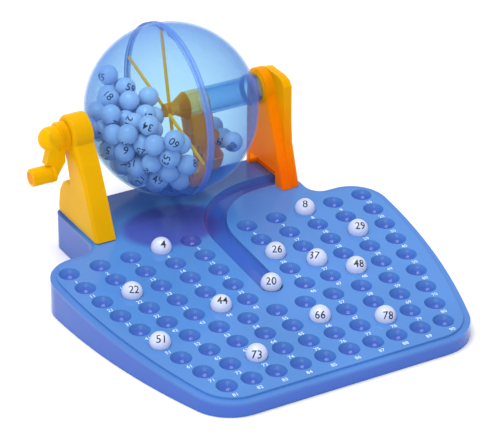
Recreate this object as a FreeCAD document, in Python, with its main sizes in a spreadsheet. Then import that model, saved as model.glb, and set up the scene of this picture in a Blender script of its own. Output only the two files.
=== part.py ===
"""Bingo cage: a clear drum of two hemispheres between two uprights, over a tray of ninety ball cups.

+X runs to the right along the rows of cups, +Y to the back, +Z up. The origin is at the bottom middle.
"""

import FreeCAD, Part
import math
import os
import random

import Sketcher

SIZES = {
    # Tray, seen from above. field_y is the middle of the fifth row of cups.
    "field_y": -68.3, "front_y": -192.6, "field_back_y": 53.2, "back_y": 137.5,
    "side_arc": 600.0, "side_half": 163.8, "side_y": 34.7, "front_corner": 40.0, "rear_corner": 32.0,
    "rear_half": 107.5, "rear_round": 10.0, "waist_round": 15.0,
    # Tray, seen from the side.
    "slope": 4.6, "deck_z": 24.3, "rear_z": 35.8, "wall": 2.0, "ledge": 6.0, "ledge_drop": 1.8,
    # Cups and balls.
    "ball_d": 18.0, "ball_up": 1.9, "cup_gap": 0.3, "cup_wall": 1.5, "row_pitch": 24.72,
    "row_half": 144.7, "row_taper": 2.475, "row_bow": 0.344, "middle_gap": 55.4,
    # Ball channel.
    "lane_w": 19.6, "lane_deep": 6.5, "lane_end_y": -59.4, "lane_turn_y": 19.7, "lane_turn": 70.0,
    "lane_wall": 1.6, "lane_out_x": 101.0, "lane_round": 4.0,
    # Drum and its axis.
    "axis_x": -1.5, "axis_y": 113.7, "axis_z": 117.2, "drum_r": 76.9, "drum_wall": 1.6,
    "seam_x": -4.8, "seam_w": 6.2, "seam_up": 2.0, "seam_round": 0.8,
    "tube_r": 12.5, "tube_bore": 10.4, "ring_r": 14.3, "ring_in": 6.0, "ring_out": 3.5,
    "axle_r": 5.0, "boss_r": 10.0, "boss_out": 5.5, "run_gap": 0.1,
    # Funnel, socket and rods inside the drum.
    "cone_r": 6.0, "hub_x": -8.4, "cone_x": 1.0, "socket_x": 12.0, "funnel_end": 31.0,
    "mouth_w": 19.0, "rod_r": 1.5, "rod_shift": 1.8, "rod_clear": 1.5, "rod_1_turn": 198.0,
    "rod_2_turn": 79.0,
    # Scoops. The middle of each cup's rim lies so far from the axis, to its side, and behind the chute's
    # middle, and its opening is turned. A neck joins it to the chute.
    "scoop_x": 22.0, "scoop_turn": -16.3, "scoop_r": 10.2, "scoop_w": 20.4, "scoop_deep": 20.0,
    "scoop_round": 4.5, "scoop_wall": 1.1,
    "left_cup_far": 58.5, "left_cup_side": -12.3, "left_cup_back": 4.0, "left_cup_open": -70.0,
    "left_neck_back": -2.0, "right_cup_far": 45.6, "right_cup_side": 8.3, "right_cup_back": 0.0,
    "right_cup_open": 38.0, "right_neck_back": 7.5, "neck_r": 3.6,
    "chute_top": 9.0, "chute_foot": 36.0, "chute_half": 10.5, "lobe_side": 14.2, "lobe_far": 31.5,
    "lobe_r": 4.6, "lobe_w": 3.0,
    # Uprights.
    "left_out": -104.4, "left_in": -85.6, "right_in": 84.5, "right_out": 102.5, "duct_x": 93.0, "skin": 1.5,
    "left_top_r": 17.4, "right_top_r": 18.5, "duct_top_r": 12.0, "bush_r": 15.0, "leg_round": 3.5,
    "frame_round": 1.5, "left_boss_r": 12.0, "sleeve_r": 7.5, "flange_r": 9.5, "flange_w": 0.8,
    "right_boss_r": 17.0, "right_boss_w": 7.0, "right_bush_w": 8.0, "way_front": -33.7, "way_back": 14.3,
    "way_tall": 12.5,
    # Crank.
    "collar_r": 13.0, "collar_w": 7.7, "collar_round": 1.2, "hub_r": 10.8, "hub_end": -119.0,
    "arm_w": 8.5, "throw_y": -2.5, "throw_z": -31.5, "boss_x": -122.0, "boss_w": 4.0, "grip_r": 8.0,
    "grip_w": 18.2, "grip_round": 1.6, "pin_r": 3.0, "pin_head_r": 4.6,
    # Screws and their posts in the feet of the uprights.
    "screw_r": 1.3, "post_r": 2.8, "post_tall": 8.0, "screw_long": 7.0, "screw_head_r": 2.6,
    "screw_head_w": 1.8, "screw_down": 0.6, "left_post_x": -99.3, "right_post_x": 97.3,
    "post_front": -41.0, "post_back": 12.0,
}
# Outlines seen from the side: how far each corner lies behind the axis, and above the rear deck.
OUTLINES = {
    # A leaning leg with a low heel behind it.
    "left": [(-54, 0), (-42.5, 27.2), (-27.3, 60.7), (-17, 77.4), (-15, 81.4), (15.5, 81.4), (2, 56.2),
             (-3, 37.2), (4, 35.5), (12, 31), (18, 22), (21, 8), (21.3, 0)],
    # The right upright's inner frame.
    "inner": [(-47.5, 0), (-33, 38), (-23, 62), (-18, 81.4), (18, 81.4), (19.6, 0)],
    # Its outer cover, which stands prouder in front and holds the falling balls.
    "outer": [(-47, 0), (-35.2, 38.2), (-33.7, 60), (-33.7, 93.4), (-29, 98.4), (-22, 100.4), (0, 100.4),
              (14, 94.4), (19.6, 83.4), (19.6, 0)],
}
# The crank's web seen from the front: x, and how far below the axis.
WEB = [(-107.9, 5), (-107.9, -22.5), (-118.5, -39), (-122, -39.5), (-122, -22.8), (-126.3, -22),
       (-122.9, -10), (-122.9, 5)]

doc = FreeCAD.newDocument("BingoCage")
sheet = doc.addObject("Spreadsheet::Sheet", "Size")
for name, corners in list(OUTLINES.items()) + [("web", WEB)]:
    for n, (across, up) in enumerate(corners, start=1):
        SIZES[f"{name}_corner{n}_across"], SIZES[f"{name}_corner{n}_up"] = across, up
for row, (alias, value) in enumerate(SIZES.items(), start=1):
    sheet.set(f"A{row}", alias)
    sheet.set(f"B{row}", str(value))
    sheet.setAlias(f"B{row}", alias)
doc.recompute()

NODES = []
X, Y, Z = FreeCAD.Vector(1, 0, 0), FreeCAD.Vector(0, 1, 0), FreeCAD.Vector(0, 0, 1)
ALONG_X = FreeCAD.Rotation(Y, 90)
UPRIGHT = FreeCAD.Rotation()
REACH = 400.0  # further than any piece goes


def size(text):
    """The value of an expression that names cells as Size.alias."""
    return float(sheet.evalExpression(text.replace("Size.", "")))


def bind(thing, **texts):
    for name, text in texts.items():
        thing.setExpression(name, str(text))
    return thing


def place(thing, x="0", y="0", z="0", turn=None):
    """Puts a thing at a point given by three expressions, turned by a fixed rotation."""
    thing.Placement = FreeCAD.Placement(FreeCAD.Vector(), turn or UPRIGHT)
    for axis, text in zip("xyz", (x, y, z)):
        thing.setExpression(f"Placement.Base.{axis}", text)
    return thing


def box(name, x, y, z, dx, dy, dz):
    made = bind(doc.addObject("Part::Box", name), Length=dx, Width=dy, Height=dz)
    return place(made, x, y, z)


def rod(name, x, y, z, radius, length, turn=ALONG_X):
    """A cylinder from a point, along +X unless turned."""
    made = bind(doc.addObject("Part::Cylinder", name), Radius=radius, Height=length)
    return place(made, x, y, z, turn)


def on_axis(name, x, radius, length):
    return rod(name, x, "Size.axis_y", "Size.axis_z", radius, length)


def ball(name, x, y, z, radius):
    return place(bind(doc.addObject("Part::Sphere", name), Radius=radius), x, y, z)


def cut(name, base, *tools):
    made = doc.addObject("Part::Cut", name)
    made.Base, made.Tool = base, tools[0] if len(tools) == 1 else fuse(name + "_tools", *tools)
    return made


def fuse(name, *things):
    made = doc.addObject("Part::MultiFuse", name)
    made.Shapes, made.Refine = list(things), True
    return made


def common(name, *things):
    made = doc.addObject("Part::MultiCommon", name)
    made.Shapes = list(things)
    return made


def round_edges(name, base, chosen, radius):
    """Rounds the edges that chosen(edge) picks. The base is worked out first, to read its edges."""
    doc.recompute()
    made = doc.addObject("Part::Fillet", name)
    value = size(radius)
    made.Base = base
    made.Edges = [(n, value, value) for n, edge in enumerate(base.Shape.Edges, start=1) if chosen(edge)]
    return made


def upright_edge(edge):
    """A straight edge along Z."""
    return isinstance(edge.Curve, Part.Line) and abs(edge.tangentAt(edge.FirstParameter).z) > 0.999


def sketch(name, corners, seen_from):
    """A closed sketch from corners given as pairs of expressions, in a plane turned by seen_from."""
    made = doc.addObject("Sketcher::SketchObject", name)
    made.Placement = FreeCAD.Placement(FreeCAD.Vector(), seen_from)
    points = [FreeCAD.Vector(size(u), size(v), 0) for u, v in corners]
    for start, end in zip(points, points[1:] + points[:1]):
        made.addGeometry(Part.LineSegment(start, end), False)
    count = len(points)
    for n in range(count):
        made.addConstraint(Sketcher.Constraint("Coincident", n, 2, (n + 1) % count, 1))
    for n, (u, v) in enumerate(corners):
        for kind, text, value in (("DistanceX", u, points[n].x), ("DistanceY", v, points[n].y)):
            index = made.addConstraint(Sketcher.Constraint(kind, -1, 1, n, 1, value))
            made.setExpression(f"Constraints[{index}]", text)
    return made


def side_outline(name):
    """The sketch of one of OUTLINES, in a plane across X."""
    corners = [(f"Size.axis_y + Size.{name}_corner{n}_across", f"Size.rear_z + Size.{name}_corner{n}_up")
               for n in range(1, len(OUTLINES[name]) + 1)]
    return sketch(f"{name}_outline", corners, FreeCAD.Rotation(Y, Z, X, "XYZ"))


def extrude(name, area, start, length):
    """A sketch's area carried along X, from x = start."""
    made = bind(doc.addObject("Part::Extrusion", name), LengthFwd=length)
    made.Base, made.DirMode, made.Dir, made.Solid = area, "Custom", X, True
    return place(made, x=start)


def inset(name, area, by):
    """A sketch's outline moved inwards."""
    made = doc.addObject("Part::Offset2D", name)
    made.Source, made.Join = area, 2
    return bind(made, Value="-" + by)


def feature(name, shape):
    made = doc.addObject("Part::Feature", name)
    made.Shape = shape
    return made


def node(name, thing):
    thing.Label = name
    NODES.append((name, thing))
    return thing


# ---------------------------------------------------------------- tray


def outline(name, edge, rear_edge, top):
    """The tray's plan as a block up to z = top.

    The field's sides are moved in by edge, and the rear part's by rear_edge.
    """
    discs = [
        rod(f"{name}_{side}_arc", f"{sign}1 * (Size.side_half - Size.side_arc)", "Size.side_y", "0",
            f"Size.side_arc - {edge}", top, UPRIGHT)
        for side, sign in (("right", ""), ("left", "-"))
    ]
    slab = box(f"{name}_slab", "-Size.side_half", f"Size.front_y + {edge}", "0", "2 * Size.side_half",
               f"Size.field_back_y - Size.front_y - 2 * {edge}", top)
    field = common(f"{name}_field", *discs, slab)
    field = round_edges(f"{name}_front", field,
                        lambda e: upright_edge(e) and e.CenterOfMass.y < size("Size.field_y"),
                        f"Size.front_corner - {edge}")
    field = round_edges(f"{name}_back", field,
                        lambda e: upright_edge(e) and e.CenterOfMass.y > size("Size.side_y"),
                        f"Size.rear_corner - {edge}")
    rear = box(f"{name}_rear_block", f"{rear_edge} - Size.rear_half", "Size.side_y", "0",
               f"2 * (Size.rear_half - {rear_edge})", f"Size.back_y - Size.side_y - {rear_edge}", top)
    rear = round_edges(f"{name}_rear", rear,
                       lambda e: upright_edge(e) and e.CenterOfMass.y > size("Size.axis_y"),
                       f"Size.rear_round - {rear_edge}")
    both = fuse(f"{name}_both", field, rear)
    waist_y = size(f"Size.field_back_y - {edge}")
    return round_edges(f"{name}_plan", both,
                       lambda e: upright_edge(e) and abs(e.CenterOfMass.y - waist_y) < 0.01,
                       f"Size.waist_round + {edge}")


def deck_slab(drop):
    """Where a block REACH tall and twice as wide lies if its top is the deck's plane, lowered by drop."""
    slope = FreeCAD.Rotation(X, size("Size.slope"))
    middle = FreeCAD.Vector(0, size("Size.field_y"), size(f"Size.deck_z - {drop}"))
    return FreeCAD.Placement(middle + slope.multVec(FreeCAD.Vector(-REACH, -REACH, -REACH)), slope)


def below_deck(name, plan, drop):
    """The part of a block that lies under the sloping deck, lowered by drop."""
    slab = bind(doc.addObject("Part::Box", f"{name}_under"), Length=2 * REACH, Width=2 * REACH, Height=REACH)
    slab.Placement = deck_slab(drop)
    return common(name, plan, slab)


def tray_block(name, shell):
    """The tray's outer form moved in by shell: the deck, and the ledge that runs round it one step lower."""
    low = outline(f"{name}_low", shell, shell, f"Size.rear_z - Size.ledge_drop - {shell}")
    high = outline(f"{name}_high", f"(Size.ledge + {shell})", f"(Size.ledge / 2 + {shell})",
                   f"Size.rear_z - {shell}")
    return fuse(name, below_deck(f"{name}_ledge", low, f"(Size.ledge_drop + {shell})"),
                below_deck(f"{name}_deck", high, shell))


def deck_height(y):
    return size("Size.deck_z") + (y - size("Size.field_y")) * math.tan(math.radians(size("Size.slope")))


def cup_centres():
    """Number and ball centre of each of the ninety cups, row by row from the back, left to right."""
    centres = []
    for row in range(9):
        y = size("Size.field_y") + size("Size.row_pitch") * (4 - row)
        half = size("Size.row_half") - size("Size.row_taper") * row - size("Size.row_bow") * row * row
        for column in range(10):
            if row < 5:
                first = size("Size.middle_gap") / 2
                step = (half - first) / 4
                x = first + step * (column - 5) if column > 4 else -first - step * (4 - column)
            else:
                x = half * (2 * column - 9) / 9
            centre = FreeCAD.Vector(x, y, deck_height(y) + size("Size.ball_up"))
            centres.append((row * 10 + column + 1, centre))
    return centres


def cup_spheres(name, radius):
    return feature(name, Part.Compound([Part.makeSphere(radius, centre) for _, centre in cup_centres()]))


def lane(name, grow, lower):
    """The ball channel: straight to a round end in front, with a quarter turn to the right at the back."""
    turn, turn_y, end_y = (size(f"Size.{key}") for key in ("lane_turn", "lane_turn_y", "lane_end_y"))
    across, out = size("Size.lane_w") / 2 + grow, size("Size.lane_out_x") + grow
    outer, inner = turn + across, turn - across
    diagonal = math.sqrt(0.5)

    def point(x, y):
        return FreeCAD.Vector(x, y, 0)

    def bend(radius, *ways):
        return Part.Arc(*[point(turn + radius * a, turn_y + radius * b) for a, b in ways]).toShape()

    edges = [
        Part.makeLine(point(-across, end_y), point(-across, turn_y)),
        bend(outer, (-1, 0), (-diagonal, diagonal), (0, 1)),
        Part.makeLine(point(turn, turn_y + outer), point(out, turn_y + outer)),
        Part.makeLine(point(out, turn_y + outer), point(out, turn_y + inner)),
        Part.makeLine(point(out, turn_y + inner), point(turn, turn_y + inner)),
        bend(inner, (0, 1), (-diagonal, diagonal), (-1, 0)),
        Part.makeLine(point(across, turn_y), point(across, end_y)),
        Part.Arc(point(across, end_y), point(0, end_y - across), point(-across, end_y)).toShape(),
    ]
    above = 2 * size("Size.rear_z")
    floor = Part.makeBox(2 * REACH, 2 * REACH, REACH)
    floor.Placement = deck_slab(str(lower))
    block = Part.Face(Part.Wire(edges)).extrude(Z * above).cut(floor)
    bottom = [e for e in block.Edges if e.BoundBox.ZMax < above - 1 and not upright_edge(e)]
    return feature(name, block.makeFillet(size("Size.lane_round") + grow, bottom))


def make_tray():
    solid = tray_block("tray_outside", "0")
    hollow = tray_block("tray_inside", "Size.wall")
    cups = cup_spheres("cups", size("Size.ball_d / 2 + Size.cup_gap"))
    bowls = cup_spheres("bowls", size("Size.ball_d / 2 + Size.cup_gap + Size.cup_wall"))
    skin = size("Size.lane_wall")
    channel = lane("channel", 0, size("Size.lane_deep"))
    trough = lane("trough", skin, size("Size.lane_deep") + skin)
    hollow = cut("tray_room", hollow, bowls, trough)
    node("base_tray", cut("base_tray", solid, hollow, cups, channel, *screw_ways()))


# ---------------------------------------------------------------- drum, and all that turns with it


def hemisphere(side, name, pole_tools, pole_parts):
    """Half of the clear ball, with its half of the seam band and what is moulded on at its pole."""
    whole = ball(f"{name}_out", "Size.axis_x", "Size.axis_y", "Size.axis_z", "Size.drum_r")
    room = ball(f"{name}_room", "Size.axis_x", "Size.axis_y", "Size.axis_z", "Size.drum_r - Size.drum_wall")
    start = "Size.seam_x" if side > 0 else "Size.seam_x - Size.seam_w / 2"
    band = on_axis(f"{name}_band", start, "Size.drum_r + Size.seam_up", "Size.seam_w / 2")
    band = round_edges(f"{name}_band_round", band, lambda e: abs(e.CenterOfMass.x - size("Size.seam_x")) > 1,
                       "Size.seam_round")
    full = fuse(f"{name}_full", whole, band, *pole_parts)
    reach = "2 * Size.drum_r"
    half = box(f"{name}_half", "Size.seam_x" if side > 0 else f"Size.seam_x - {reach}",
               "Size.axis_y - Size.drum_r - 10", "Size.axis_z - Size.drum_r - 10",
               reach, f"{reach} + 20", f"{reach} + 20")
    return node(name, cut(name, common(f"{name}_solid", full, half), room, *pole_tools))


def make_drum():
    pole = "(Size.axis_x - Size.drum_r)"
    boss = on_axis("left_pole_boss", f"{pole} - Size.boss_out", "Size.boss_r",
                   "Size.boss_out + Size.drum_wall")
    bore = on_axis("left_bore", f"{pole} - 20", "Size.axle_r", "60")
    hemisphere(-1, "left_hemisphere", [bore], [boss])
    end = "(Size.axis_x + Size.drum_r)"
    ring = on_axis("trunnion_ring", f"{end} - Size.ring_in", "Size.ring_r", "Size.ring_in + Size.ring_out")
    port = on_axis("right_port", f"{end} - 20", "Size.tube_r", "60")
    hemisphere(1, "right_hemisphere", [port], [ring])

    tube = on_axis("tube_out", "Size.funnel_end", "Size.tube_r", "Size.duct_x + 2 - Size.funnel_end")
    bore = on_axis("tube_in", "Size.funnel_end - 1", "Size.tube_bore", "Size.right_out")
    node("delivery_tube", cut("delivery_tube", tube, bore))


def spun(thing, x, angle):
    """Turns a thing made round the X axis by an angle in degrees, and puts it on the drum's axis."""
    return place(thing, x, "Size.axis_y", "Size.axis_z", FreeCAD.Rotation(X, angle))


def stirring_rod(number, shift):
    """A rod right across the drum through its axis, shift to the right of the seam."""
    way = FreeCAD.Rotation(X, size(f"Size.rod_{number}_turn")).multVec(Y)
    reach = "(Size.drum_r - Size.drum_wall - Size.rod_clear)"
    stick = bind(doc.addObject("Part::Cylinder", f"rod_{number}"), Radius="Size.rod_r", Height=f"2 * {reach}")
    middle = FreeCAD.Vector(size(f"Size.seam_x + {shift}"), size("Size.axis_y"), size("Size.axis_z"))
    stick.Placement = FreeCAD.Placement(middle - way * size(reach), FreeCAD.Rotation(Z, way))
    return node(f"stirring_rod_{number}", stick)


def make_stirrer():
    """Two crossed rods in a hub, and the socket on the tube's end that the scoops empty into."""
    rods = [stirring_rod(1, "-Size.rod_shift"), stirring_rod(2, "Size.rod_shift")]
    hub = on_axis("stir_hub", "Size.hub_x", "Size.cone_r", "Size.cone_x - Size.hub_x")
    cone = bind(doc.addObject("Part::Cone", "funnel_cone"), Radius1="Size.cone_r", Radius2="Size.tube_r",
                Height="Size.socket_x - Size.cone_x")
    place(cone, "Size.cone_x", "Size.axis_y", "Size.axis_z", ALONG_X)
    node("scoop_funnel", cut("scoop_funnel", fuse("funnel_body", cone, hub), *rods))
    socket = on_axis("socket_out", "Size.socket_x", "Size.tube_r", "Size.funnel_end - Size.socket_x")
    bore = on_axis("socket_in", "Size.socket_x + Size.scoop_wall", "Size.tube_bore", "Size.tube_r * 2")
    wide, long = size("Size.mouth_w"), size("Size.funnel_end - Size.socket_x - 2 * Size.scoop_wall")
    mouth = feature("socket_mouth", Part.makeBox(long, wide, wide, FreeCAD.Vector(0, -wide / 2, -wide)))
    spun(mouth, "Size.socket_x + Size.scoop_wall", size("Size.scoop_turn"))
    node("tube_socket", cut("tube_socket", socket, bore, mouth))


def chute(grow, top, foot):
    """A square duct below the X axis from top to foot, moved out by grow."""
    half = size("Size.chute_half") + grow
    return Part.makeBox(2 * half, 2 * half, foot - top, FreeCAD.Vector(-half, -half, -foot))


def scoop_cup(centre, angle, grow):
    """A cup with straight sides over a round bottom, moved out by grow, and a block over its opening.

    The middle of its rim is at centre, and angle turns its opening from +Z round the X axis.
    """
    radius, half = size("Size.scoop_r") + grow, size("Size.scoop_w") / 2 + grow
    above, low = 2 * size("Size.scoop_wall"), size("Size.scoop_r - Size.scoop_deep")
    front, back, lip_front, lip_back, bottom = (
        FreeCAD.Vector(-half, across * radius, up)
        for across, up in ((-1, low), (1, low), (-1, above), (1, above), (0, low - radius)))
    side = Part.Wire([Part.makeLine(lip_front, front), Part.Arc(front, bottom, back).toShape(),
                      Part.makeLine(back, lip_back), Part.makeLine(lip_back, lip_front)])
    made = Part.Face(side).extrude(X * 2 * half)
    ends = [e for e in made.Edges if e.BoundBox.XLength < 0.01 and e.BoundBox.ZMin < above - 0.01]
    made = made.makeFillet(size("Size.scoop_round") + grow, ends)
    block = 4 * radius
    lid = Part.makeBox(block, block, block, FreeCAD.Vector(-block / 2, -block / 2, 0))
    for shape in (made, lid):
        shape.Placement = FreeCAD.Placement(centre, FreeCAD.Rotation(X, angle))
    return made, lid


def make_scoops():
    """Two open cups side by side, on necks at the foot of a hollow chute that leads in to the socket."""
    skin = size("Size.scoop_wall")
    top, foot = size("Size.chute_top"), size("Size.chute_foot")
    solids, rooms = [], [chute(-skin, top - skin, foot - skin)]
    for side in ("left", "right"):
        far, across, back, angle = (size(f"Size.{side}_cup_{key}") for key in ("far", "side", "back", "open"))
        centre = FreeCAD.Vector(across, back, -far)
        made, lid = scoop_cup(centre, angle, 0)
        solids.append(made.cut(lid))
        rooms.append(scoop_cup(centre, angle, -skin)[0])
        start = FreeCAD.Vector(across / 2, size(f"Size.{side}_neck_back"), -far)
        solids.append(Part.makeCylinder(size("Size.neck_r"), far - foot + skin / 2, start))
    lobes = [Part.makeCylinder(size("Size.lobe_r"), size("Size.lobe_w"),
                               FreeCAD.Vector(way * size("Size.lobe_side"), -size("Size.lobe_w") / 2,
                                              -size("Size.lobe_far")), Y) for way in (-1, 1)]
    shape = chute(0, top, foot).multiFuse(solids + lobes).cut(Part.Compound(rooms))
    socket = Part.makeCylinder(size("Size.tube_r"), 2 * REACH, FreeCAD.Vector(-REACH, 0, 0), X)
    shape = max(shape.cut(socket).Solids, key=lambda solid: solid.Volume)
    node("scoops", spun(feature("scoops", shape), "Size.scoop_x", size("Size.scoop_turn")))


# ---------------------------------------------------------------- uprights


def leg_block(name, area, top_r, start, width):
    """A leg's area with a round top on the axis, from x = start."""
    return fuse(name, extrude(f"{name}_leg", area, start, width), on_axis(f"{name}_top", start, top_r, width))


def hollow_upright(name, area, top_r, start, width, open_start, soft):
    """A leg with a round top as a shell with one open side, given as its outside and its room."""
    skin = "Size.skin"
    outside = leg_block(f"{name}_both", area, top_r, start, width)
    closed = size(f"{start} + {width}") if open_start else size(start)
    foot = size("Size.rear_z")
    outside = round_edges(f"{name}_outside", outside,
                          lambda e: max(abs(e.BoundBox.XMin - closed), abs(e.BoundBox.XMax - closed)) < 0.01
                          and e.BoundBox.ZMax > foot + 1, soft)
    room = leg_block(f"{name}_room", inset(f"{name}_inset", area, skin), f"{top_r} - {skin}",
                     f"{start} - 1" if open_start else f"{start} + {skin}", f"{width} - {skin} + 1")
    return outside, room


def make_left_upright():
    width, cover_x = "(Size.left_in - Size.left_out)", "(Size.left_in - Size.skin)"
    area = side_outline("left")
    outside, room = hollow_upright("left", area, "Size.left_top_r", "Size.left_out", width, False,
                                   "Size.leg_round")
    shell = cut("left_shell", outside, room)
    boss = on_axis("left_boss_out", "Size.left_out + 0.5", "Size.left_boss_r", f"{width} - Size.skin - 0.5")
    bore = on_axis("left_boss_bore", "Size.left_out - 1", "Size.sleeve_r", "60")
    stems, pilots = posts("left")
    node("left_support", cut("left_support", fuse("left_body", shell, boss, *stems), bore, *pilots))
    plate = leg_block("left_plate", inset("left_plate_inset", area, "(Size.skin + 0.1)"),
                      "Size.left_top_r - Size.skin - 0.1", cover_x, "Size.skin")
    node("left_support_cover", cut("left_support_cover", plate, bore))
    sleeve = on_axis("left_sleeve", "Size.left_out - Size.flange_w", "Size.sleeve_r",
                     f"{width} + 2 * Size.flange_w")
    flange = on_axis("left_flange", "Size.left_out - Size.flange_w", "Size.flange_r", "Size.flange_w")
    hole = on_axis("left_hole", "Size.left_out - 5", "Size.axle_r + Size.run_gap / 2", "60")
    node("left_bush", cut("left_bush", fuse("left_bush_body", sleeve, flange), hole))


def make_right_upright():
    """The right upright is also the ball's way down: an inner frame, and a cover prouder in front."""
    split = "Size.duct_x"
    outside, room = hollow_upright("inner", side_outline("inner"), "Size.right_top_r", "Size.right_in",
                                   f"({split} - Size.right_in)", False, "Size.frame_round")
    way = box("ball_way", "Size.right_in - 1", "Size.axis_y + Size.way_front", "Size.rear_z - 1", "10",
              "Size.way_back - Size.way_front", "Size.way_tall + 1")
    bore = on_axis("right_bore", "Size.right_in - 1", "Size.bush_r", "6")
    shell = cut("inner_shell", outside, room, way, bore)
    boss = cut("right_boss",
               on_axis("right_boss_out", "Size.right_in", "Size.right_boss_r", "Size.right_boss_w"),
               on_axis("right_boss_in", "Size.right_in - 1", "Size.bush_r", "Size.right_boss_w + 2"))
    node("right_support", fuse("right_support", shell, boss))
    outside, room = hollow_upright("outer", side_outline("outer"), "Size.duct_top_r", split,
                                   f"(Size.right_out - {split})", True, "Size.leg_round")
    stems, pilots = posts("right")
    cover = fuse("duct_body", cut("duct_shell", outside, room), *stems)
    node("right_duct_cover", cut("right_duct_cover", cover, *pilots))
    sleeve = on_axis("right_sleeve", "Size.right_in - 1", "Size.bush_r", "Size.right_bush_w")
    hole = on_axis("right_hole", "Size.right_in - 5", "Size.tube_r + Size.run_gap / 2", "20")
    node("right_bush", cut("right_bush", sleeve, hole))


def post_places():
    """Side, x and y of the four screw posts, one in front and one behind in the foot of each upright."""
    return [(side, f"Size.{side}_post_x", f"Size.axis_y + Size.post_{end}")
            for side in ("left", "right") for end in ("front", "back")]


def posts(side):
    """The screw posts of one upright, which stand on the rear deck, and the pilot holes up into them."""
    made, holes = [], []
    for n, (owner, x, y) in enumerate(post_places()):
        if owner == side:
            made.append(rod(f"post_{n}", x, y, "Size.rear_z", "Size.post_r", "Size.post_tall", UPRIGHT))
            holes.append(rod(f"pilot_{n}", x, y, "Size.rear_z - 1", "Size.screw_r", "Size.screw_long",
                             UPRIGHT))
    return made, holes


def screw_ways():
    """Clearance holes for the four screws, through the rear deck."""
    return [rod(f"screw_way_{n}", x, y, "Size.rear_z - 10", "Size.screw_r + 0.2", "20", UPRIGHT)
            for n, (_, x, y) in enumerate(post_places())]


def make_screws():
    """Four screws up through the rear deck into the posts of the uprights."""
    screws = []
    under = "(Size.rear_z - Size.wall - Size.screw_down)"
    for n, (_, x, y) in enumerate(post_places()):
        head = rod(f"support_head_{n}", x, y, f"{under} - Size.screw_head_w", "Size.screw_head_r",
                   "Size.screw_head_w", UPRIGHT)
        shank = rod(f"support_shank_{n}", x, y, under, "Size.screw_r", "Size.screw_long", UPRIGHT)
        screws.append(fuse(f"support_screw_{n}", head, shank))
    group = doc.addObject("Part::Compound", "support_screws")
    group.Links = screws
    node("support_screws", group)


# ---------------------------------------------------------------- crank


def make_crank():
    """The axle, a thick collar on it, and an arm whose round-ended hub has a web down to the grip."""
    shaft_end = "Size.axis_x - Size.drum_r + Size.drum_wall"
    node("crank_axle", on_axis("crank_axle", "Size.hub_end + 1", "Size.axle_r",
                               f"{shaft_end} - Size.hub_end - 1"))
    collar_x = "(Size.left_out - Size.flange_w - Size.run_gap - Size.collar_w)"
    collar = on_axis("collar_out", collar_x, "Size.collar_r", "Size.collar_w")
    collar = round_edges("collar_soft", collar, lambda e: e.CenterOfMass.x < size(collar_x) + 1,
                         "Size.collar_round")
    seat = on_axis("axle_seat", "Size.hub_end + 1", "Size.axle_r", "60")
    node("crank_collar", cut("crank_collar", collar, seat))

    pin_y, pin_z = "(Size.axis_y + Size.throw_y)", "(Size.axis_z + Size.throw_z)"
    hub = on_axis("hub_out", "Size.hub_end", "Size.hub_r", f"{collar_x} - Size.hub_end")
    dome = ball("hub_dome", "Size.hub_end", "Size.axis_y", "Size.axis_z", "Size.hub_r")
    corners = [(f"Size.web_corner{n}_across", f"Size.axis_z + Size.web_corner{n}_up")
               for n in range(1, len(WEB) + 1)]
    area = sketch("web_outline", corners, FreeCAD.Rotation(X, Z, -Y, "XYZ"))
    web = bind(doc.addObject("Part::Extrusion", "arm_web"), LengthFwd="Size.arm_w")
    web.Base, web.DirMode, web.Dir, web.Solid = area, "Custom", Y, True
    place(web, y=f"{pin_y} / 2 + Size.axis_y / 2 - Size.arm_w / 2")
    boss = rod("grip_boss", "Size.boss_x", pin_y, pin_z, "Size.grip_r", "Size.boss_w")
    pin_hole = rod("pin_way", "Size.boss_x - 1", pin_y, pin_z, "Size.pin_r", "Size.boss_w")
    lever = fuse("lever", hub, dome, web, boss)
    node("crank_arm", cut("crank_arm", lever, seat, pin_hole))
    grip_x = "(Size.boss_x - 0.3 - Size.grip_w)"
    grip = rod("grip_out", grip_x, pin_y, pin_z, "Size.grip_r", "Size.grip_w")
    grip = round_edges("grip_soft", grip, lambda e: e.CenterOfMass.x < size(grip_x) + 1,
                       "Size.grip_round")
    bore = rod("grip_bore", f"{grip_x} - 1", pin_y, pin_z, "Size.pin_r + Size.run_gap", "40")
    well = rod("grip_well", f"{grip_x} - 1", pin_y, pin_z, "Size.pin_head_r + 0.6", "3")
    node("crank_grip", cut("crank_grip", grip, bore, well))
    pin = fuse("pin_body", rod("pin_shank", f"{grip_x} + 0.6", pin_y, pin_z, "Size.pin_r",
                               f"Size.boss_x + Size.boss_w - 1 - {grip_x} - 0.6"),
               rod("pin_head", f"{grip_x} + 0.4", pin_y, pin_z, "Size.pin_head_r", "1.4"))
    node("grip_pin", pin)


# ---------------------------------------------------------------- balls


DRAWN = (4, 8, 22, 26, 29, 37, 44, 48, 51, 66, 73, 78)


def make_called_balls():
    """Balls already called lie in their cups, and the last one out lies at the end of the channel."""
    centres = dict(cup_centres())
    for number in DRAWN:
        at = centres[number]
        name = f"ball_{number:02d}"
        node(name, ball(name, str(at.x), str(at.y), str(at.z), "Size.ball_d / 2"))
    y = size("Size.lane_end_y")
    above_deck = size("Size.ball_d / 2 - Size.lane_deep") / math.cos(math.radians(size("Size.slope")))
    z = deck_height(y) + above_deck + size("Size.run_gap") / 2
    node("ball_20", ball("ball_20", "0", str(y), str(z), "Size.ball_d / 2"))


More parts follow.
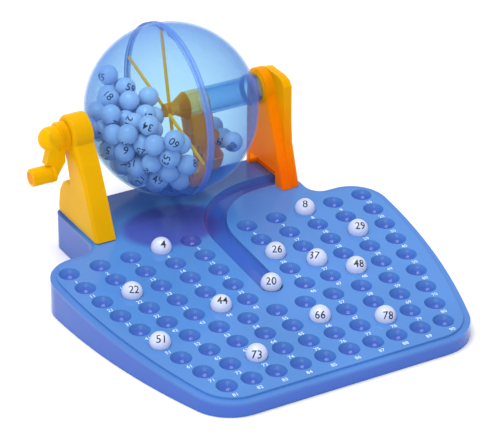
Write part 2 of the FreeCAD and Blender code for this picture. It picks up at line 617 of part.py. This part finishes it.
def heap_centres(count):
    """Three balls beyond the scoops, and the others dropped one by one to the left of the rods.

    Each rolls down to the lowest of a few free places. Down leans to the left and the back, where the
    turning drum has left the heap higher.
    """
    rng = random.Random(7)
    middle = FreeCAD.Vector(size("Size.axis_x"), size("Size.axis_y"), size("Size.axis_z"))
    step = size("Size.ball_d") + 0.08
    reach = size("Size.drum_r - Size.drum_wall - Size.ball_d / 2") - 0.4
    left = size("Size.seam_x - Size.axis_x - Size.rod_shift - Size.rod_r - Size.ball_d / 2") - 0.5
    scoop_end = size("Size.scoop_x + Size.right_cup_side + Size.scoop_w / 2 - Size.axis_x")
    right = scoop_end + size("Size.ball_d / 2") + 0.5
    ring = math.sqrt(reach ** 2 - right ** 2)
    apart = 2 * math.asin(step / 2 / ring)
    placed = [FreeCAD.Vector(right, ring * math.sin(n * apart), -ring * math.cos(n * apart))
              for n in (-1, 0, 1)]

    def height(p):
        return p.z - 0.2 * p.y + 0.3 * p.x

    def free(p):
        return p.Length <= reach and p.x <= left and all((p - q).Length >= step for q in placed)

    while len(placed) < count:
        best = None
        for _ in range(7):
            p = FreeCAD.Vector(rng.uniform(-reach, left), rng.uniform(-reach, reach), rng.uniform(0, 45))
            if not free(p):
                continue
            move = 6.0
            while move > 0.02:
                for _ in range(12):
                    way = FreeCAD.Vector(rng.uniform(-1, 1), rng.uniform(-1, 1), rng.uniform(-1, 0.2))
                    q = p + way * move
                    if height(q) < height(p) and free(q):
                        p = q
                        break
                else:
                    move *= 0.6
            if best is None or height(p) < height(best):
                best = p
        if best is not None:
            placed.append(best)
    return [middle + p for p in placed]


def make_heap():
    centres = heap_centres(90 - len(DRAWN) - 1)
    shape = Part.Compound([Part.makeSphere(size("Size.ball_d") / 2, centre) for centre in centres])
    node("ball_heap", feature("ball_heap", shape))


SECTIONS = (make_tray, make_drum, make_stirrer, make_scoops, make_left_upright, make_right_upright,
            make_screws, make_crank, make_called_balls, make_heap)
for section in SECTIONS:
    section()
doc.recompute()
bad = [o.Name for o in doc.Objects if {"Invalid", "Error"} & set(o.State)]
bad += [name for name, thing in NODES if thing.Shape.isNull() or not thing.Shape.isValid()]
if bad:
    raise RuntimeError("not sound: " + ", ".join(bad))
os.makedirs("parts", exist_ok=True)
for name, thing in NODES:
    thing.Shape.exportStep(f"parts/{name}.step")
    print(f"{name}: {len(thing.Shape.Solids)} solids, {thing.Shape.Volume:.0f} mm3")
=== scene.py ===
"""Bingo cage: the looks of a tray of cups, a clear crank-turned drum of balls and two amber uprights."""

import math
import random

import bmesh
import bpy
from mathutils import Matrix, Vector


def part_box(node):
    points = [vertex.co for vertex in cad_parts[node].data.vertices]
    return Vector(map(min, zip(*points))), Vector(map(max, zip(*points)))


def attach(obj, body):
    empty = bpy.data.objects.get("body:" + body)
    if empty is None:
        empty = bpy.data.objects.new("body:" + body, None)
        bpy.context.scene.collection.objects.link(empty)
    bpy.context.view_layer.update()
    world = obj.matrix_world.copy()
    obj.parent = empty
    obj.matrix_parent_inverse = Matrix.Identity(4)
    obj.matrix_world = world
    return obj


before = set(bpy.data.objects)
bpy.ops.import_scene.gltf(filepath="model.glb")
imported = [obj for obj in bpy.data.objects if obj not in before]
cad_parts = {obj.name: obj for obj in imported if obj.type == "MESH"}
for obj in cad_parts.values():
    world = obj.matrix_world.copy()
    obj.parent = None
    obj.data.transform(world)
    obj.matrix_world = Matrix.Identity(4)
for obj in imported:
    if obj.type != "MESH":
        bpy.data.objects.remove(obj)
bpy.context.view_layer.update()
scene = bpy.context.scene

# Driving sizes, in metres. They repeat the CAD's.
BALL_R = 0.009
FIELD_Y = -0.0683
DECK_Z = 0.0243
SLOPE = math.radians(4.6)
ROW_PITCH = 0.02472
ROW_HALF, ROW_TAPER, ROW_BOW = 0.1447, 0.002475, 0.000344
MIDDLE_GAP = 0.0554
# Heights of the printed numbers and the thickness of their ink.
BALL_DIGITS, BALL_INK = 0.0072, 0.00016
CUP_DIGITS, CUP_INK = 0.0038, 0.00012
CUP_TO_NUMBER = 0.0134
LONGEST_EDGE = 0.0012  # of a number that is bent round a ball
# How far each called ball's number lies from its front left side, to the right and up, in radii.
CALLED = {
    4: (0.25, 0.35), 8: (0.0, 0.5), 20: (0.0, 0.25), 22: (0.25, 0.3), 26: (0.15, 0.35), 29: (0.2, 0.4),
    37: (-0.3, 0.45), 44: (0.15, 0.55), 48: (0.25, 0.35), 51: (0.1, 0.35), 66: (0.0, 0.1), 73: (0.0, 0.0),
    78: (0.25, 0.1),
}


# ---------------------------------------------------------------- camera, light and floor


# From the tray towards the camera, of length one.
FRONT_LEFT = Vector((-0.4338, -0.7644, 0.4770))


def make_camera():
    """Looks down from the front left, with a long lens."""
    target, distance = Vector((-0.0053, -0.0326, 0.0767)), 2.227
    camera = bpy.data.objects.new("camera", bpy.data.cameras.new("camera"))
    camera.data.lens, camera.data.sensor_width = 190.9, 36.0
    camera.location = target + FRONT_LEFT * distance
    camera.rotation_euler = (-FRONT_LEFT).to_track_quat("-Z", "Y").to_euler()
    scene.collection.objects.link(camera)
    scene.camera = camera


def area_light(name, place, aim, size, power):
    data = bpy.data.lights.new(name, "AREA")
    data.shape, data.size, data.energy = "DISK", size, power
    light = bpy.data.objects.new(name, data)
    light.location = place
    light.rotation_euler = (Vector(aim) - Vector(place)).to_track_quat("-Z", "Y").to_euler()
    scene.collection.objects.link(light)


def make_studio():
    world = bpy.data.worlds.new("studio")
    world.use_nodes = True
    background = world.node_tree.nodes["Background"]
    background.inputs["Color"].default_value = (1.0, 1.0, 1.0, 1)
    background.inputs["Strength"].default_value = 0.78
    scene.world = world
    scene.view_settings.view_transform = "Standard"
    area_light("key", (-0.3, 0.0, 1.6), (0, 0.02, 0.05), 1.0, 15)
    area_light("front", (-1.0, -1.3, 0.7), (0, 0.05, 0.05), 1.2, 7)
    mesh = bpy.data.meshes.new("floor")
    reach, below = 6.0, 0.0004
    mesh.from_pydata([(-reach, -reach, 0), (reach, -reach, 0), (reach, reach, 0), (-reach, reach, 0)], [],
                     [(0, 1, 2, 3)])
    floor = bpy.data.objects.new("floor", mesh)
    floor.location.z = -below
    scene.collection.objects.link(floor)
    paper = Nodes("floor_paper")
    matt = paper.add("ShaderNodeBsdfDiffuse")
    matt.inputs["Color"].default_value = (0.98, 0.98, 0.985, 1)
    paper.link(matt.outputs["BSDF"], paper.out.inputs["Surface"])
    floor.data.materials.append(paper.material)


# ---------------------------------------------------------------- materials


class Nodes:
    """Short forms for building one material's node tree."""

    def __init__(self, name):
        self.material = bpy.data.materials.new(name)
        self.material.use_nodes = True
        self.tree = self.material.node_tree
        self.tree.nodes.clear()
        self.out = self.add("ShaderNodeOutputMaterial")

    def add(self, kind, **values):
        node = self.tree.nodes.new(kind)
        for key, value in values.items():
            setattr(node, key, value)
        return node

    def link(self, source, target):
        self.tree.links.new(source, target)

    def noise(self, scale, detail=2.0):
        coordinates = self.add("ShaderNodeTexCoord")
        noise = self.add("ShaderNodeTexNoise")
        noise.inputs["Scale"].default_value = scale
        noise.inputs["Detail"].default_value = detail
        self.link(coordinates.outputs["Object"], noise.inputs["Vector"])
        return noise.outputs["Fac"]

    def between(self, fac, low, high):
        """A colour that runs from low to high as fac goes over a noise's middle range."""
        ramp = self.add("ShaderNodeValToRGB")
        ramp.color_ramp.elements[0].position, ramp.color_ramp.elements[1].position = 0.35, 0.65
        ramp.color_ramp.elements[0].color = (*low, 1)
        ramp.color_ramp.elements[1].color = (*high, 1)
        self.link(fac, ramp.inputs["Fac"])
        return ramp.outputs["Color"]

    def span(self, fac, low, high):
        """A number that runs from low to high as fac goes from 0 to 1."""
        scaled = self.add("ShaderNodeMapRange")
        scaled.inputs["To Min"].default_value, scaled.inputs["To Max"].default_value = low, high
        self.link(fac, scaled.inputs["Value"])
        return scaled.outputs["Result"]

    def bump(self, fac, strength, distance):
        node = self.add("ShaderNodeBump")
        node.inputs["Strength"].default_value = strength
        node.inputs["Distance"].default_value = distance
        self.link(fac, node.inputs["Height"])
        return node.outputs["Normal"]


def shade(colour, factor):
    return tuple(min(1.0, c * factor) for c in colour)


def plastic(name, colour, rough, coat=0.3, grain=0.12, vary=0.06):
    """Moulded plastic: faint flow marks in its colour and gloss, and a fine ripple on its surface."""
    n = Nodes(name)
    surface = n.add("ShaderNodeBsdfPrincipled")
    flow = n.noise(28.0, 3.0)
    n.link(n.between(flow, shade(colour, 1 - vary), shade(colour, 1 + vary)), surface.inputs["Base Color"])
    n.link(n.span(n.noise(90.0), rough * 0.75, rough * 1.3), surface.inputs["Roughness"])
    surface.inputs["Coat Weight"].default_value = coat
    surface.inputs["Coat Roughness"].default_value = 0.06
    surface.inputs["IOR"].default_value = 1.49
    if grain:
        n.link(n.bump(n.noise(260.0), grain, 0.0004), surface.inputs["Normal"])
    n.link(surface.outputs["BSDF"], n.out.inputs["Surface"])
    return n.material


def tray_plastic(name, deck, below_shade, shaded):
    """Glossy blue plastic, with painted shade below the sloping deck's plane and painted shade under the
    drum.
    """
    n = Nodes(name)
    surface = n.add("ShaderNodeBsdfPrincipled")
    coordinates = n.add("ShaderNodeTexCoord")
    # Painted shade: below the deck's plane, in the cups, the channel and down the walls, the blue turns
    # darker.
    above = n.add("ShaderNodeVectorMath", operation="DOT_PRODUCT")
    above.inputs[1].default_value = (0.0, -math.tan(SLOPE), 1.0)
    n.link(coordinates.outputs["Object"], above.inputs[0])
    plane = deck_height(0)
    down = n.add("ShaderNodeMapRange")
    down.inputs["From Min"].default_value = plane - BELOW_SHADE_FROM
    down.inputs["From Max"].default_value = plane - BELOW_SHADE_BY
    n.link(above.outputs["Value"], down.inputs["Value"])
    mix = n.add("ShaderNodeMix", data_type="RGBA")
    n.link(down.outputs["Result"], mix.inputs["Factor"])
    n.link(n.between(n.noise(9.0, 3.0), shade(deck, 0.93), shade(deck, 1.07)), mix.inputs["A"])
    mix.inputs["B"].default_value = (*below_shade, 1)
    # Painted shade: a soft patch on the deck under and in front of the drum turns to the shaded blue.
    from_patch = n.add("ShaderNodeVectorMath", operation="MULTIPLY_ADD")
    for k, (middle, half) in enumerate(PAINTED_DRUM_SHADE):
        from_patch.inputs[1].default_value[k] = 1 / half
        from_patch.inputs[2].default_value[k] = -middle / half
    n.link(coordinates.outputs["Object"], from_patch.inputs[0])
    distance = n.add("ShaderNodeVectorMath", operation="LENGTH")
    n.link(from_patch.outputs["Vector"], distance.inputs[0])
    inside = n.add("ShaderNodeMapRange", interpolation_type="SMOOTHSTEP")
    inside.inputs["From Min"].default_value, inside.inputs["From Max"].default_value = SHADE_EDGE
    inside.inputs["To Max"].default_value = 0.85
    n.link(distance.outputs["Value"], inside.inputs["Value"])
    under = n.add("ShaderNodeMix", data_type="RGBA")
    n.link(inside.outputs["Result"], under.inputs["Factor"])
    n.link(mix.outputs["Result"], under.inputs["A"])
    under.inputs["B"].default_value = (*shaded, 1)
    n.link(under.outputs["Result"], surface.inputs["Base Color"])
    n.link(n.span(n.noise(70.0), 0.10, 0.2), surface.inputs["Roughness"])
    surface.inputs["IOR"].default_value = 1.4
    surface.inputs["Specular IOR Level"].default_value = 0.25
    surface.inputs["Coat Weight"].default_value = 0.22
    surface.inputs["Coat Roughness"].default_value = 0.03
    n.link(surface.outputs["BSDF"], n.out.inputs["Surface"])
    return n.material


def clear_plastic(name, tint, body, veil, edge, rough=0.05, blend=0.22, thick=None, foot_shade=None, gloss=0.5,
                  painted_glow=0.0):
    """See-through plastic: what is behind it tinted, a veil of its own colour, and gloss that grows at edges.

    thick is a centre and a radius, beyond which the plastic is solid enough to veil more. foot is a
    painted shade low down, where it stands on the tray and less light comes through it. glow is painted
    light, an emission that brightens the plastic where it lies in shade.
    """
    n = Nodes(name)
    see = n.add("ShaderNodeBsdfTransparent")
    see.inputs["Color"].default_value = (*tint, 1)
    surface = n.add("ShaderNodeBsdfPrincipled")
    colour = n.between(n.noise(14.0), shade(body, 0.95), shade(body, 1.05))
    # Painted shade: low down the plastic turns to a darker orange.
    if foot_shade:
        apart = n.add("ShaderNodeSeparateXYZ")
        n.link(n.add("ShaderNodeTexCoord").outputs["Object"], apart.inputs[0])
        height = n.add("ShaderNodeMapRange")
        height.inputs["From Min"].default_value = FOOT_SHADE_FROM
        height.inputs["From Max"].default_value = FOOT_SHADE_BY
        n.link(apart.outputs["Z"], height.inputs["Value"])
        lower = n.add("ShaderNodeMix", data_type="RGBA")
        n.link(height.outputs["Result"], lower.inputs["Factor"])
        n.link(colour, lower.inputs["A"])
        lower.inputs["B"].default_value = (*foot_shade, 1)
        colour = lower.outputs["Result"]
    n.link(colour, surface.inputs["Base Color"])
    n.link(n.span(n.noise(60.0), rough * 0.7, rough * 1.4), surface.inputs["Roughness"])
    surface.inputs["IOR"].default_value = 1.3
    surface.inputs["Specular IOR Level"].default_value = gloss
    # Painted light: an emission in the plastic's own colour that brightens it where it lies in shade.
    if painted_glow:
        n.link(colour, surface.inputs["Emission Color"])
        surface.inputs["Emission Strength"].default_value = painted_glow
    facing = n.add("ShaderNodeLayerWeight")
    facing.inputs["Blend"].default_value = blend
    cover = n.span(facing.outputs["Facing"], veil, edge)
    if thick:
        centre, radius = thick
        coordinates = n.add("ShaderNodeTexCoord")
        away = n.add("ShaderNodeVectorMath", operation="DISTANCE")
        away.inputs[1].default_value = centre
        n.link(coordinates.outputs["Object"], away.inputs[0])
        beyond = n.add("ShaderNodeMath", operation="GREATER_THAN")
        beyond.inputs[1].default_value = radius
        n.link(away.outputs["Value"], beyond.inputs[0])
        most = n.add("ShaderNodeMath", operation="MAXIMUM")
        n.link(n.span(beyond.outputs["Value"], 0.0, 0.6), most.inputs[0])
        n.link(cover, most.inputs[1])
        cover = most.outputs["Value"]
    mix = n.add("ShaderNodeMixShader")
    n.link(cover, mix.inputs["Fac"])
    n.link(see.outputs["BSDF"], mix.inputs[1])
    n.link(surface.outputs["BSDF"], mix.inputs[2])
    n.link(mix.outputs["Shader"], n.out.inputs["Surface"])
    return n.material


def dress(node, material):
    """Gives a CAD node a material."""
    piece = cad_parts[node]
    piece.data.materials.clear()
    piece.data.materials.append(material)


BLUE = (0.075, 0.22, 0.57)
# Painted shade for the tray below its deck's plane.
BELOW_DECK_SHADE_BLUE = (0.045, 0.12, 0.48)
# Painted shade: the deck's colour under and in front of the drum.
SHADED_BLUE = (0.06, 0.07, 0.38)
AMBER = (0.80, 0.47, 0.0)
DEEP_AMBER = (0.84, 0.35, 0.0)
ORANGE = (0.88, 0.19, 0.0)
DRUM_CENTRE, DRUM_R = (-0.0015, 0.1137, 0.1172), 0.0769
DRUM_GAP = 0.0004  # outside the drum's wall, inside the band at its seam
# Middle and half length, on each axis, of the part of the deck where the drum's shade is painted.
PAINTED_DRUM_SHADE = ((-0.031, 0.046), (0.061, 0.033), (0.035, 0.1))
SHADE_EDGE = (1.12, 0.84)  # where the shade starts and is full, in half lengths
BELOW_SHADE_FROM, BELOW_SHADE_BY = 0.0008, 0.0055  # how far below the deck the painted shade starts and is full
FOOT_SHADE_FROM, FOOT_SHADE_BY = 0.12, 0.05  # the heights between which an upright turns to its painted shade low down


def dress_all():
    tray = tray_plastic("tray_blue", BLUE, BELOW_DECK_SHADE_BLUE, SHADED_BLUE)
    # The amber, orange, stirrer and rod plastics carry an emission of painted light that lifts their shaded
    # sides.
    amber = clear_plastic("amber", (1.0, 0.72, 0.04), AMBER, 0.62, 0.96, 0.2, 0.3, gloss=0.2, painted_glow=0.06)
    # The cover and orange pieces take a painted shade of orange low down.
    cover = clear_plastic("cover_amber", (1.0, 0.76, 0.08), AMBER, 0.4, 0.9, 0.16, 0.3, foot_shade=ORANGE,
                          gloss=0.25, painted_glow=0.16)
    orange = clear_plastic("orange", (1.0, 0.74, 0.08), DEEP_AMBER, 0.35, 0.9, 0.16, 0.4, foot_shade=ORANGE,
                           gloss=0.25, painted_glow=0.25)
    solid_amber = plastic("solid_amber", AMBER, rough=0.22, coat=0.1)
    drum = clear_plastic("drum_clear", (0.785, 0.905, 0.965), (0.11, 0.24, 0.74), 0.012, 0.85, 0.04, 0.14,
                         (DRUM_CENTRE, DRUM_R + DRUM_GAP))
    tube = clear_plastic("tube_clear", (0.82, 0.92, 0.99), (0.12, 0.34, 0.8), 0.07, 0.85, 0.05, 0.2)
    stirrer = clear_plastic("stirrer_clear", (1.0, 0.82, 0.45), (0.85, 0.33, 0.0), 0.36, 1.0, 0.12, 0.5,
                            gloss=0.4, painted_glow=0.06)
    socket = clear_plastic("socket_clear", (1.0, 0.93, 0.7), (1.0, 0.72, 0.25), 0.3, 0.8, 0.12)
    rods = clear_plastic("rod_yellow", (1.0, 0.8, 0.1), (1.0, 0.5, 0.0), 0.85, 1.0, 0.2,
                         gloss=0.25, painted_glow=0.12)
    ball = plastic("ball_white", (0.54, 0.60, 0.82), rough=0.3, coat=0.15, vary=0.03)
    steel = plastic("screw_steel", (0.55, 0.55, 0.57), rough=0.3)
    looks = {
        "base_tray": tray, "left_support": amber, "left_support_cover": amber, "left_bush": orange,
        "right_support": orange, "right_duct_cover": cover, "right_bush": amber, "support_screws": steel,
        "left_hemisphere": drum, "right_hemisphere": drum, "delivery_tube": tube, "scoop_funnel": stirrer,
        "tube_socket": socket, "scoops": stirrer, "stirring_rod_1": rods, "stirring_rod_2": rods,
        "crank_axle": solid_amber, "crank_collar": cover, "crank_arm": amber, "grip_pin": orange,
        "crank_grip": amber,
    }
    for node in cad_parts:
        dress(node, looks.get(node, ball))


# ---------------------------------------------------------------- numbers


def text_mesh(text, height, thick):
    """A number as a closed flat mesh, centred."""
    curve = bpy.data.curves.new("digits", "FONT")
    curve.body, curve.size, curve.extrude = text, height / 0.7, thick / 2
    curve.align_x, curve.align_y, curve.resolution_u, curve.offset = "CENTER", "CENTER", 3, height * 0.012
    holder = bpy.data.objects.new("digits", curve)
    scene.collection.objects.link(holder)
    bpy.context.view_layer.update()
    made = bmesh.new()
    source = holder.to_mesh()
    made.from_mesh(source)
    holder.to_mesh_clear()
    bpy.data.objects.remove(holder)
    bpy.data.curves.remove(curve)
    bmesh.ops.remove_doubles(made, verts=made.verts, dist=1e-7)
    low = [min(v.co[k] for v in made.verts) for k in range(3)]
    high = [max(v.co[k] for v in made.verts) for k in range(3)]
    bmesh.ops.translate(made, verts=made.verts, vec=[-(a + b) / 2 for a, b in zip(low, high)])
    return made


def fine(made, longest):
    """Cuts a mesh into triangles whose edges are at most longest, or nearly so."""
    bmesh.ops.triangulate(made, faces=made.faces)
    for _ in range(4):
        edges = [e for e in made.edges if e.calc_length() > longest]
        if not edges:
            break
        bmesh.ops.subdivide_edges(made, edges=edges, cuts=1)
        bmesh.ops.triangulate(made, faces=made.faces)


def join_into(whole, made):
    """Adds one mesh to another and frees it."""
    mesh = bpy.data.meshes.new("part")
    made.to_mesh(mesh)
    made.free()
    whole.from_mesh(mesh)
    bpy.data.meshes.remove(mesh)


def piece_from(name, made, material, body):
    """Makes a visible piece of a mesh and rides it on a body."""
    mesh = bpy.data.meshes.new(name)
    made.to_mesh(mesh)
    made.free()
    piece = bpy.data.objects.new(name, mesh)
    scene.collection.objects.link(piece)
    mesh.materials.append(material)
    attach(piece, body)


def number_on_ball(whole, number, centre, facing, up):
    """Adds a number wrapped round a ball, its middle on the side that faces facing, its top towards up."""
    made = text_mesh(str(number), BALL_DIGITS, BALL_INK)
    fine(made, LONGEST_EDGE)
    out = facing.normalized()
    right = up.cross(out).normalized()
    top = out.cross(right)
    for v in made.verts:
        x, y, z = v.co
        flat = out * BALL_R + right * x + top * y
        v.co = centre + flat.normalized() * (BALL_R + z)
    join_into(whole, made)


def deck_height(y):
    return DECK_Z + (y - FIELD_Y) * math.tan(SLOPE)


def cup_centres():
    """Each cup's number and the middle of its mouth on the deck."""
    for row in range(9):
        y = FIELD_Y + ROW_PITCH * (4 - row)
        half = ROW_HALF - ROW_TAPER * row - ROW_BOW * row * row
        for column in range(10):
            if row < 5:
                first = MIDDLE_GAP / 2
                step = (half - first) / 4
                x = first + step * (column - 5) if column > 4 else -first - step * (4 - column)
            else:
                x = half * (2 * column - 9) / 9
            yield row * 10 + column + 1, Vector((x, y, deck_height(y)))


def make_cup_numbers(ink):
    """White numbers printed on the deck in front of the cups."""
    whole = bmesh.new()
    along = Matrix.Rotation(SLOPE, 4, "X")
    for number, mouth in cup_centres():
        made = text_mesh(str(number), CUP_DIGITS, CUP_INK)
        y = mouth.y - CUP_TO_NUMBER
        made.transform(Matrix.Translation((mouth.x, y, deck_height(y))) @ along)
        join_into(whole, made)
    piece_from("cup_numbers", whole, ink, "base")


def ball_islands(node):
    """The centre of each separate ball in a node."""
    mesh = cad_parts[node].data
    whole = bmesh.new()
    whole.from_mesh(mesh)
    bmesh.ops.remove_doubles(whole, verts=whole.verts, dist=1e-6)
    left, centres = set(whole.verts), []
    while left:
        queue = [left.pop()]
        island = []
        while queue:
            v = queue.pop()
            island.append(v.co.copy())
            for e in v.link_edges:
                w = e.other_vert(v)
                if w in left:
                    left.remove(w)
                    queue.append(w)
        low = Vector([min(p[k] for p in island) for k in range(3)])
        high = Vector([max(p[k] for p in island) for k in range(3)])
        centres.append((low + high) / 2)
    whole.free()
    return sorted(centres, key=lambda c: tuple(round(x, 5) for x in c))


def make_ball_numbers(ink):
    """Black numbers: legible on the called balls, and any way round on the balls in the drum."""
    right = Vector((-FRONT_LEFT.y, FRONT_LEFT.x, 0)).normalized()
    up = FRONT_LEFT.cross(right)
    for number, (across, above) in CALLED.items():
        node = f"ball_{number:02d}"
        low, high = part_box(node)
        whole = bmesh.new()
        facing = FRONT_LEFT + right * across + up * above
        number_on_ball(whole, number, (Vector(low) + Vector(high)) / 2, facing, up)
        piece_from(f"number_{number:02d}", whole, ink, node)
    rng = random.Random(3)
    towards = 2.5  # how strongly every third number turns to the front left
    whole = bmesh.new()
    rest = [n for n in range(1, 91) if n not in CALLED]
    for n, (number, centre) in enumerate(zip(rest, ball_islands("ball_heap"))):
        around = Vector([rng.gauss(0, 1) for _ in range(3)])
        facing = around + FRONT_LEFT * towards if n % 3 == 0 else around
        number_on_ball(whole, number, centre, facing, Vector([rng.gauss(0, 1) for _ in range(3)]))
    piece_from("heap_numbers", whole, ink, "base")


make_camera()
make_studio()
dress_all()
make_cup_numbers(plastic("white_print", (0.6, 0.74, 0.95), rough=0.4, coat=0.0, grain=0.0))
make_ball_numbers(plastic("black_print", (0.012, 0.012, 0.015), rough=0.4, coat=0.0, grain=0.0))
